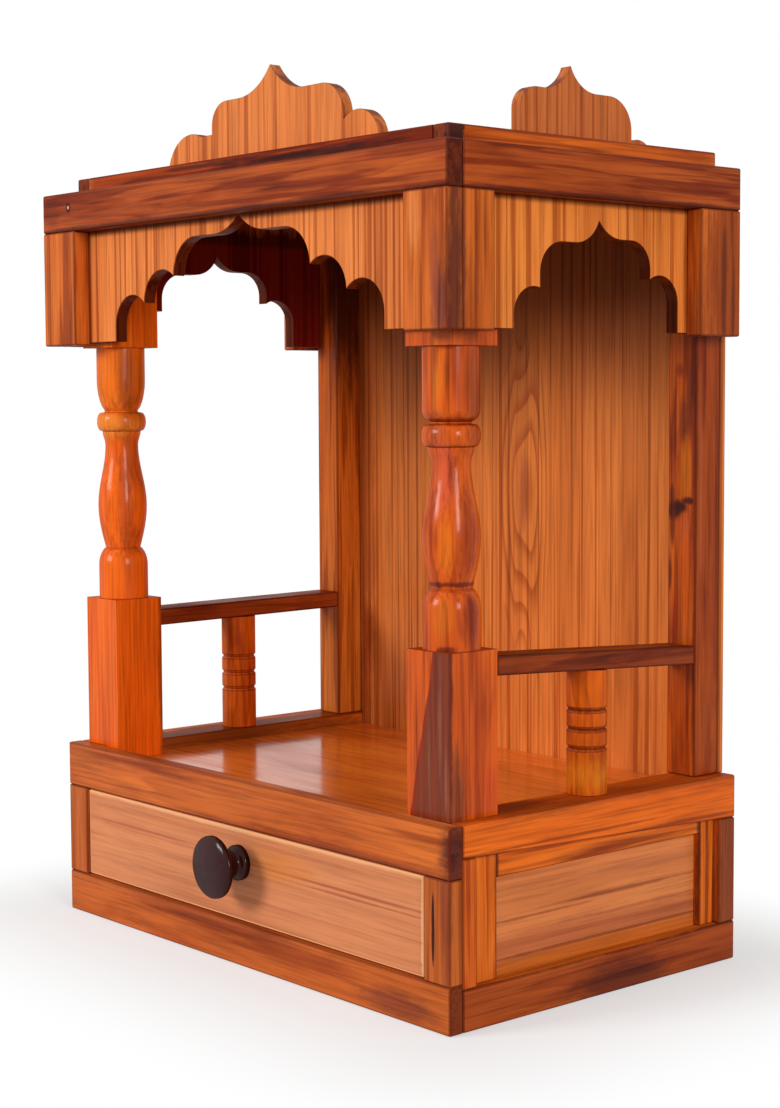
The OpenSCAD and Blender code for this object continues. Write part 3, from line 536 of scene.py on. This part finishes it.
        "marks": [((145.5, -84, 388), (4, 5, 8), (66, 26, 20), 1.2), ((145.5, 20, 384.8), (3, 120, 0.8), (84, 30, 14), 0.8)]},
    "handrail": {
        "tone": "dark_rail", "tint": (0.62, 0.5, 0.36), "mottle": 0.8, "mottle_scale": (20, 80), "figure": (7, 70, 5, 0.6)},
    "baluster": {
        "tone": "post", "tint": (0.92, 0.82, 0.5), "mottle": 0.7, "mottle_scale": (30, 90), "figure": (14, 60, 5, 0.6),
        "roughness": 0.4, "specular": 0.1, "coat": 0.08, "coat_roughness": 0.2,
        "marks": [((135.75, 7.5, 101), (12, 12, 9), (228, 128, 28), 0.9), ((-135.75, 7.5, 120), (3, 20, 60), (190, 90, 34), 0.5)]
        # The dark rings in the three grooves are painted shade.
        + [((side * 135.75, 7.5, height), (14, 14, 1.1), (112, 38, 12), 0.9)
           for side, height in ((1, 113.5), (1, 122.5), (1, 131.5))]},
    "bare_plywood": {
        "tone": "plywood", "mottle": 0.25, "figure": (2, 50, 4, 0.3), "lines": (6, 170, 0.33, 0.2), "roughness": 0.7,
        "specular": 0.2, "coat": 0.0, "arris": 0.2, "end": 0.3, "tint": (1.05, 0.92, 0.85), "dark": (0.66, 0.52, 0.4)},
    "knob": {
        "tone": "knob", "tint": (0.48, 0.25, 0.24), "mottle": 0.5, "mottle_scale": (40, 120), "figure": (20, 120, 4, 0.5),
        "roughness": 0.35, "specular": 0.12, "coat": 0.3, "coat_roughness": 0.05, "arris": 0.0, "end": 0.0, "fibre": 0.2,
        "light": (1.8, 1.7, 1.7)},
}


def get_material(name):
    """The named finish, made the first time that it is asked for."""
    title = name + "_varnish"
    if title in bpy.data.materials:
        return bpy.data.materials[title]
    wood = WOODS[name]
    colour = tuple(getattr(finishes(), wood.get("tone", WOOD_HABIT["tone"])))
    return timber(title, tint(colour, wood.get("tint", WOOD_HABIT["tint"])), wood)


# ---------------------------------------------------------------- pieces

def node_mesh(node):
    """A joined copy of a frame node's mesh, with its flat faces whole."""
    shape = bmesh.new()
    shape.from_mesh(frame["nodes"][node].data)
    bmesh.ops.remove_doubles(shape, verts=shape.verts, dist=1e-6)
    bmesh.ops.dissolve_limit(shape, angle_limit=math.radians(0.5), verts=shape.verts, edges=shape.edges)
    return shape


def ease_edges(shape, width, above=30.0):
    """Rounds the edges that turn by more than an angle."""
    arris = shape.faces.layers.float.new("arris")
    sharp = [e for e in shape.edges if len(e.link_faces) == 2
             and e.calc_face_angle(0) > math.radians(above)]
    eased = bmesh.ops.bevel(shape, geom=sharp, offset=width, offset_type="OFFSET", segments=2, profile=0.5,
                            affect="EDGES", clamp_overlap=True, material=-1)
    for face in eased["faces"]:
        face[arris] = 1.0


def boards_of(shape):
    """The separate boards in a mesh, as lists of vertices."""
    left = set(shape.verts)
    boards = []
    while left:
        seed = left.pop()
        board = [seed]
        front = [seed]
        while front:
            vert = front.pop()
            for edge in vert.link_edges:
                other = edge.other_vert(vert)
                if other in left:
                    left.remove(other)
                    board.append(other)
                    front.append(other)
        boards.append(board)
    boards.sort(key=lambda board: (round(min(v.co.x for v in board), 4), round(min(v.co.z for v in board), 4)))
    return boards


def mark_grain(shape, along, seed, inward=(0, 0, 0)):
    """Stores each point's place along and across its board's grain, in metres, and the board's directions."""
    layer = shape.verts.layers.float_vector.new("grain")
    fibre_axis = shape.verts.layers.float_vector.new("fibre_axis")
    inside = shape.verts.layers.float_vector.new("inward")
    for number, board in enumerate(boards_of(shape)):
        low = [min(v.co[i] for v in board) for i in range(3)]
        high = [max(v.co[i] for v in board) for i in range(3)]
        axis = along
        if along is None:
            axis = max(range(3), key=lambda i: high[i] - low[i])
        others = [i for i in range(3) if i != axis]
        shift = Vector(((seed * 37 + number * 11) % 29 * 0.13, (seed * 17 + number * 7) % 23 * 0.031,
                        (seed * 5 + number * 13) % 19 * 0.027))
        for vert in board:
            vert[layer] = Vector((vert.co[axis], vert.co[others[0]], vert.co[others[1]])) + shift
            vert[fibre_axis] = Vector([float(i == axis) for i in range(3)])
            vert[inside] = Vector(inward)


def add_piece(name, shape, materials, node, body="temple"):
    """Makes a finished piece of a mesh, in place of a frame node."""
    bmesh.ops.recalc_face_normals(shape, faces=shape.faces)
    mesh = bpy.data.meshes.new(name)
    shape.to_mesh(mesh)
    shape.free()
    for material in materials:
        mesh.materials.append(get_material(material))
    mesh.shade_smooth()
    piece = bpy.data.objects.new(name, mesh)
    bpy.context.scene.collection.objects.link(piece)
    even = piece.modifiers.new("even faces", "WEIGHTED_NORMAL")
    even.weight = 100
    even.keep_sharp = True
    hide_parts(node)
    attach(piece, body)
    return piece


def finish_node(node, material, easing, along=None, seed=1, body="temple", inward=(0, 0, 0)):
    """A frame node's own shape with eased edges, grain and varnish."""
    shape = node_mesh(node)
    ease_edges(shape, easing)
    mark_grain(shape, along, seed, inward)
    return add_piece("finished_" + node, shape, [material], node, body)


def spun(profile):
    """A turned shape that stands on the origin, from points of radius and height."""
    shape = bmesh.new()
    points = [shape.verts.new((radius, 0, height)) for radius, height in profile]
    edges = [shape.edges.new(pair) for pair in zip(points, points[1:])]
    bmesh.ops.spin(shape, geom=points + edges, cent=(0, 0, 0), axis=(0, 0, 1), angle=math.tau,
                   steps=64, use_merge=True)
    bmesh.ops.remove_doubles(shape, verts=shape.verts, dist=1e-6)
    return shape


def highest(node, side):
    """The highest point of a frame node at its front (-1) or back (1) end."""
    points = [v.co for v in frame["nodes"][node].data.vertices]
    edge = max(side * point.y for point in points)
    return max((point for point in points if side * point.y > edge - 0.1 * MM), key=lambda point: point.z).copy()


def cut_above(shape, front, back):
    """Takes off what stands above the slope that runs through two points, and closes the cut."""
    slope = Vector((0, back.y - front.y, back.z - front.z))
    normal = Vector((1, 0, 0)).cross(slope).normalized()
    normal *= math.copysign(1, normal.z)
    cut = bmesh.ops.bisect_plane(shape, geom=shape.verts[:] + shape.edges[:] + shape.faces[:], dist=1e-7,
                                 plane_co=front, plane_no=normal, clear_outer=True)
    rim = [part for part in cut["geom_cut"] if isinstance(part, bmesh.types.BMEdge)]
    bmesh.ops.holes_fill(shape, edges=rim, sides=0)


def joined(shapes):
    """One mesh of several."""
    whole = bmesh.new()
    for shape in shapes:
        mesh = bpy.data.meshes.new("part")
        shape.to_mesh(mesh)
        shape.free()
        whole.from_mesh(mesh)
        bpy.data.meshes.remove(mesh)
    return whole


def board(low, high):
    """A plain board between two corners."""
    shape = bmesh.new()
    bmesh.ops.create_cube(shape, size=1.0)
    bmesh.ops.scale(shape, verts=shape.verts, vec=high - low)
    bmesh.ops.translate(shape, verts=shape.verts, vec=(low + high) / 2)
    return shape


def make_beads():
    """The flat beads round the side panels, each of a front, a top and a rear board."""
    node = "base_side_beads"
    low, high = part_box(node)
    panel_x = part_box("base_side_panel_right")[1].x
    front, top, rear = sizes().front_bead, sizes().top_bead, sizes().rear_bead
    spans = ((low.y, low.y + front, low.z), (low.y + front, high.y - rear, high.z - top), (high.y - rear, high.y, low.z))
    boards = []
    for near, far in ((panel_x, high.x), (low.x, -panel_x)):
        for start, end, foot in spans:
            shape = board(Vector((near, start, foot)), Vector((far, end, high.z)))
            cut_above(shape, highest(node, -1), highest(node, 1))
            boards.append(shape)
    shape = joined(boards)
    ease_edges(shape, sizes().bead_easing)
    mark_grain(shape, None, 6)
    add_piece("beads_of_the_base", shape, ["bead"], node)


def make_baluster(side, seed):
    """A turned baluster with its three grooves, cut to the slope of the handrail."""
    node = "baluster_" + side
    low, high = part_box(node)
    middle = (low + high) / 2
    radius = (high.x - low.x) / 2
    depth, half = 1 * MM, 1.3 * MM
    points = [v.co for v in frame["nodes"][node].data.vertices]
    grooves = sorted({round(point.z, 5) for point in points
                      if math.hypot(point.x - middle.x, point.y - middle.y) < radius - 0.8 * depth})
    profile = [(0, low.z), (radius, low.z)]
    for height in grooves:
        profile += [(radius, height - half), (radius - depth, height), (radius, height + half)]
    profile += [(radius, high.z), (0, high.z)]
    shape = spun(profile)
    bmesh.ops.translate(shape, verts=shape.verts, vec=(middle.x, middle.y, 0))
    cut_above(shape, highest(node, -1), highest(node, 1))
    ease_edges(shape, 0.3 * MM)
    mark_grain(shape, UP, seed)
    add_piece("turned_" + node, shape, ["baluster"], node)


def make_knob():
    """A turned knob: a foot, a hollow neck and a wide head with a low dome."""
    low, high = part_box("drawer_knob")
    length, head = high.y - low.y, (high.x - low.x) / 2
    foot, neck = 0.57 * head, 0.4 * head
    foot_top, neck_top, rim, rim_top = 0.1 * length, 0.28 * length, 0.76 * length, 0.83 * length
    profile = [(0, 0), (foot, 0), (foot, foot_top)]
    steps = 14
    for step in range(1, steps + 1):
        share = step / steps
        profile.append((foot + (neck - foot) * (1 - math.cos(math.pi * share)) / 2,
                        foot_top + (neck_top - foot_top) * share))
    for step in range(1, steps + 1):
        angle = math.pi / 2 * step / steps
        profile.append((neck + (head - neck) * (1 - math.cos(angle)), neck_top + (rim - neck_top) * math.sin(angle)))
    for step in range(steps + 1):
        angle = math.pi / 2 * step / steps
        profile.append((head * math.cos(angle), rim_top + (length - rim_top) * math.sin(angle)))
    shape = spun(profile)
    bmesh.ops.rotate(shape, verts=shape.verts, cent=(0, 0, 0), matrix=Matrix.Rotation(math.pi / 2, 3, "X"))
    bmesh.ops.translate(shape, verts=shape.verts, vec=((low.x + high.x) / 2, high.y, (low.z + high.z) / 2))
    mark_grain(shape, BACK, 2)
    add_piece("turned_knob", shape, ["knob"], "drawer_knob", "drawer")


def make_roof():
    """The roof board between two narrow end boards."""
    node = "roof_board"
    low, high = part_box(node)
    end = sizes().roof_end
    cuts = [low.x, low.x + end, high.x - end, high.x]
    shape = joined([board(Vector((start, low.y, low.z)), Vector((stop, high.y, high.z)))
                    for start, stop in zip(cuts, cuts[1:])])
    ease_edges(shape, sizes().board_easing)
    mark_grain(shape, None, 5, (0, 0, -1))
    for face in shape.faces:
        face.material_index = int(abs(face.calc_center_median().x) > high.x - end)
    add_piece("boards_of_the_roof", shape, ["roof", "roof_edge"], node)


ACROSS, BACK, UP = 0, 1, 2


# ---------------------------------------------------------------- operators

class TEMPLE_OT_base_rails(bpy.types.Operator):
    """Finish the rails, stiles and beads that face the base"""

    bl_idname = "temple.base_rails"
    bl_label = "Base rails"

    def execute(self, context):
        easing = sizes().board_easing
        finish_node("base_front_top_rail", "front_top_rail", easing, ACROSS, 3)
        finish_node("base_front_bottom_rail", "front_bottom_rail", easing, ACROSS, 4)
        finish_node("base_front_stiles", "stile", easing, UP, 5)
        make_beads()
        for seed, side in ((7, "left"), (8, "right")):
            finish_node("base_side_top_rail_" + side, "side_top_rail", easing, BACK, seed)
            finish_node("base_side_bottom_rail_" + side, "side_bottom_rail", easing, BACK, seed)
            finish_node("base_side_stiles_" + side, "side_stile", easing, UP, seed)
        return {"FINISHED"}


class TEMPLE_OT_base_walls(bpy.types.Operator):
    """Finish the side panels and the plywood inside and behind the base"""

    bl_idname = "temple.base_walls"
    bl_label = "Base walls"

    def execute(self, context):
        easing = sizes().veneer_easing
        for seed, side in ((1, "left"), (2, "right")):
            finish_node("base_side_panel_" + side, "panel", easing, BACK, seed)
        for node in ("base_bottom_board", "base_back_board", "drawer_runners", "platform_cleats"):
            finish_node(node, "bare_plywood", easing, None, 3)
        return {"FINISHED"}


class TEMPLE_OT_drawer(bpy.types.Operator):
    """Finish the drawer's front and its plywood box"""

    bl_idname = "temple.drawer"
    bl_label = "Drawer"

    def execute(self, context):
        finish_node("drawer_front", "drawer_front", sizes().board_easing, ACROSS, 2, "drawer")
        for node in ("drawer_sides", "drawer_back", "drawer_bottom"):
            finish_node(node, "bare_plywood", sizes().veneer_easing, None, 5, "drawer")
        make_knob()
        return {"FINISHED"}


class TEMPLE_OT_platform(bpy.types.Operator):
    """Finish the glossy platform"""

    bl_idname = "temple.platform"
    bl_label = "Platform"

    def execute(self, context):
        finish_node("platform", "platform", sizes().veneer_easing, ACROSS, 2)
        return {"FINISHED"}


class TEMPLE_OT_pillars(bpy.types.Operator):
    """Turn and varnish the front pillars and the balusters"""

    bl_idname = "temple.pillars"
    bl_label = "Turned pillars"

    def execute(self, context):
        for seed, side in ((1, "left"), (2, "right")):
            finish_node("front_pillar_" + side, side + "_pillar", sizes().board_easing, UP, seed, inward=(0, -1, 0))
            make_baluster(side, seed + 2)
        return {"FINISHED"}


class TEMPLE_OT_rear_posts(bpy.types.Operator):
    """Finish the rear posts, their top rail and the back panel"""

    bl_idname = "temple.rear_posts"
    bl_label = "Rear posts and back panel"

    def execute(self, context):
        for seed, side in ((1, "left"), (2, "right")):
            finish_node("rear_post_" + side, "rear_post", sizes().board_easing, UP, seed)
        finish_node("rear_top_rail", "rear_post", sizes().board_easing, ACROSS, 3)
        finish_node("back_panel", "back_veneer", sizes().veneer_easing, UP, 4, inward=(0, -1, 0))
        return {"FINISHED"}


class TEMPLE_OT_handrails(bpy.types.Operator):
    """Finish the handrails"""

    bl_idname = "temple.handrails"
    bl_label = "Handrails"

    def execute(self, context):
        for seed, side in ((1, "left"), (2, "right")):
            finish_node("handrail_" + side, "handrail", sizes().board_easing, BACK, seed)
        return {"FINISHED"}


class TEMPLE_OT_arch_boards(bpy.types.Operator):
    """Finish the cusped arch boards"""

    bl_idname = "temple.arch_boards"
    bl_label = "Cusped arch boards"

    def execute(self, context):
        for seed, side, inward in ((1, "front", (0, 1, 0)), (2, "left", (1, 0, 0)), (3, "right", (-1, 0, 0))):
            veneer = "arch_veneer" if side == "front" else "side_veneer"
            finish_node("arch_board_" + side, veneer, sizes().veneer_easing, UP, seed, inward=inward)
        return {"FINISHED"}


class TEMPLE_OT_canopy(bpy.types.Operator):
    """Finish the corner boards, the cornice and the roof board"""

    bl_idname = "temple.canopy"
    bl_label = "Canopy"

    def execute(self, context):
        easing = sizes().board_easing
        for seed, side in ((1, "front"), (2, "left"), (3, "right")):
            finish_node("corner_boards_" + side, "corner_board", easing, UP, seed + 4)
            finish_node("cornice_" + side, "cornice", easing, None, seed)
        make_roof()
        return {"FINISHED"}


class TEMPLE_OT_crests(bpy.types.Operator):
    """Finish the crest boards that stand on the roof"""

    bl_idname = "temple.crests"
    bl_label = "Crests"

    def execute(self, context):
        for seed, side in ((1, "front"), (2, "left"), (3, "right")):
            inward = (0, 1, 0) if side == "front" else (1, 0, 0)
            finish_node("crest_" + side, "crest_veneer", sizes().veneer_easing, UP, seed + 8, inward=inward)
        return {"FINISHED"}


def white_for_eyes(tree, strength):
    """1 where the camera, a reflection or glass looks, and the given strength for lighting."""
    path = add_node(tree, "LightPath")
    seen = add_node(tree, "Math", operation="MAXIMUM")
    tree.links.new(path.outputs["Is Camera Ray"], seen.inputs[0])
    tree.links.new(path.outputs["Is Glossy Ray"], seen.inputs[1])
    clear = add_node(tree, "Math", operation="MAXIMUM")
    tree.links.new(seen.outputs[0], clear.inputs[0])
    tree.links.new(path.outputs["Is Transmission Ray"], clear.inputs[1])
    power = add_node(tree, "MapRange", {"Value": clear.outputs[0], "To Min": strength, "To Max": 1.0})
    return power.outputs["Result"]


def add_floor():
    """A round floor that keeps the shadow near the temple and fades to white."""
    shape = bmesh.new()
    bmesh.ops.create_circle(shape, cap_ends=True, radius=6.0, segments=96)
    bmesh.ops.translate(shape, verts=shape.verts, vec=(0, 0, -0.0002))
    mesh = bpy.data.meshes.new("floor")
    shape.to_mesh(mesh)
    shape.free()
    floor = bpy.data.objects.new("floor", mesh)
    bpy.context.scene.collection.objects.link(floor)
    material, tree, shader = new_material("floor_paint", 0.9, 0.1)
    colour = tuple(bpy.context.scene.temple_stage.floor)
    shader.inputs["Base Color"].default_value = (*colour, 1)
    place = add_node(tree, "TexCoord").outputs["Object"]
    aside = add_node(tree, "VectorMath", operation="ABSOLUTE")
    tree.links.new(place, aside.inputs[0])
    past = add_node(tree, "VectorMath", operation="SUBTRACT")
    tree.links.new(aside.outputs[0], past.inputs[0])
    past.inputs[1].default_value = (0.15, 0.095, 0)
    outside = add_node(tree, "VectorMath", operation="MAXIMUM")
    tree.links.new(past.outputs[0], outside.inputs[0])
    far = add_node(tree, "VectorMath", operation="LENGTH")
    tree.links.new(outside.outputs[0], far.inputs[0])
    fade = smooth_step(tree, far.outputs["Value"], 0.0, 0.125, 0.48, 1.0)
    glow = add_node(tree, "Emission", {"Color": (1, 1, 1, 1)})
    tree.links.new(white_for_eyes(tree, 0.4), glow.inputs["Strength"])
    blend = add_node(tree, "MixShader", {"Fac": fade})
    tree.links.new(shader.outputs[0], blend.inputs[1])
    tree.links.new(glow.outputs[0], blend.inputs[2])
    tree.links.new(blend.outputs[0], tree.nodes["Material Output"].inputs["Surface"])
    mesh.materials.append(material)


def add_area(name, place, target, size, power, colour=(1, 1, 1)):
    """A soft rectangular lamp that faces a point."""
    data = bpy.data.lights.new(name, "AREA")
    data.shape = "RECTANGLE"
    data.size, data.size_y = size
    data.energy = power
    data.color = colour
    lamp = bpy.data.objects.new(name, data)
    lamp.location = place
    lamp.rotation_euler = (Vector(target) - Vector(place)).to_track_quat("-Z", "Y").to_euler()
    bpy.context.scene.collection.objects.link(lamp)
    return lamp


class TEMPLE_OT_stage(bpy.types.Operator):
    """Set up the floor, the light, the white background and the camera"""

    bl_idname = "temple.stage"
    bl_label = "Stage"

    def execute(self, context):
        stage = context.scene.temple_stage
        add_floor()
        middle = (0, 0, 0.2)
        add_area("key_lamp", (-0.7, -2.0, 0.95), middle, (0.8, 0.6), stage.key_power)
        add_area("side_lamp", (2.1, -0.6, 0.7), middle, (0.5, 0.7), stage.side_power)
        world = bpy.data.worlds.new("white_room")
        context.scene.world = world
        world.use_nodes = True
        back = world.node_tree.nodes["Background"]
        back.inputs["Color"].default_value = (1, 1, 1, 1)
        world.node_tree.links.new(white_for_eyes(world.node_tree, stage.sky), back.inputs["Strength"])
        context.scene.view_settings.view_transform = "Standard"
        data = bpy.data.cameras.new("camera")
        data.sensor_fit = "VERTICAL"
        data.sensor_height = 24
        data.lens = 44.125
        data.clip_start = 0.01
        camera = bpy.data.objects.new("camera", data)
        right = Vector((0.65418524, 0.75631836, -0.00492116))
        up = Vector((-0.05384473, 0.05306165, 0.99713851))
        forward = Vector((-0.75441528, 0.65204832, -0.0754359))
        turn = Matrix((right, up, -forward)).transposed().to_4x4()
        camera.matrix_world = Matrix.Translation((0.788941, -0.677939, 0.275289)) @ turn
        context.scene.collection.objects.link(camera)
        context.scene.camera = camera
        return {"FINISHED"}


PIECE_OPERATORS = (
    TEMPLE_OT_base_rails,
    TEMPLE_OT_base_walls,
    TEMPLE_OT_drawer,
    TEMPLE_OT_platform,
    TEMPLE_OT_pillars,
    TEMPLE_OT_rear_posts,
    TEMPLE_OT_handrails,
    TEMPLE_OT_arch_boards,
    TEMPLE_OT_canopy,
    TEMPLE_OT_crests,
    TEMPLE_OT_stage,
)


class TEMPLE_PT_panel(bpy.types.Panel):
    """Lists the sizes, the finishes and the steps of the temple"""

    bl_idname = "TEMPLE_PT_panel"
    bl_label = "Home Temple"
    bl_space_type = "VIEW_3D"
    bl_region_type = "UI"
    bl_category = "Home Temple"

    def draw(self, context):
        for group in (context.scene.temple_sizes, context.scene.temple_finishes, context.scene.temple_stage):
            box = self.layout.box()
            for name in group.bl_rna.properties.keys():
                if name not in ("rna_type", "name"):
                    box.prop(group, name)
        for operator in PIECE_OPERATORS:
            self.layout.operator(operator.bl_idname)


CLASSES = (TempleSizes, TempleFinishes, TempleStage, *PIECE_OPERATORS, TEMPLE_PT_panel)


def register():
    for each in CLASSES:
        bpy.utils.register_class(each)
    bpy.types.Scene.temple_sizes = bpy.props.PointerProperty(type=TempleSizes)
    bpy.types.Scene.temple_finishes = bpy.props.PointerProperty(type=TempleFinishes)
    bpy.types.Scene.temple_stage = bpy.props.PointerProperty(type=TempleStage)


def unregister():
    del bpy.types.Scene.temple_stage
    del bpy.types.Scene.temple_finishes
    del bpy.types.Scene.temple_sizes
    for each in reversed(CLASSES):
        bpy.utils.unregister_class(each)


def main():
    """Builds every piece and the stage."""
    register()
    for operator in PIECE_OPERATORS:
        group, name = operator.bl_idname.split(".")
        getattr(getattr(bpy.ops, group), name)()


if __name__ == "__main__":
    main()
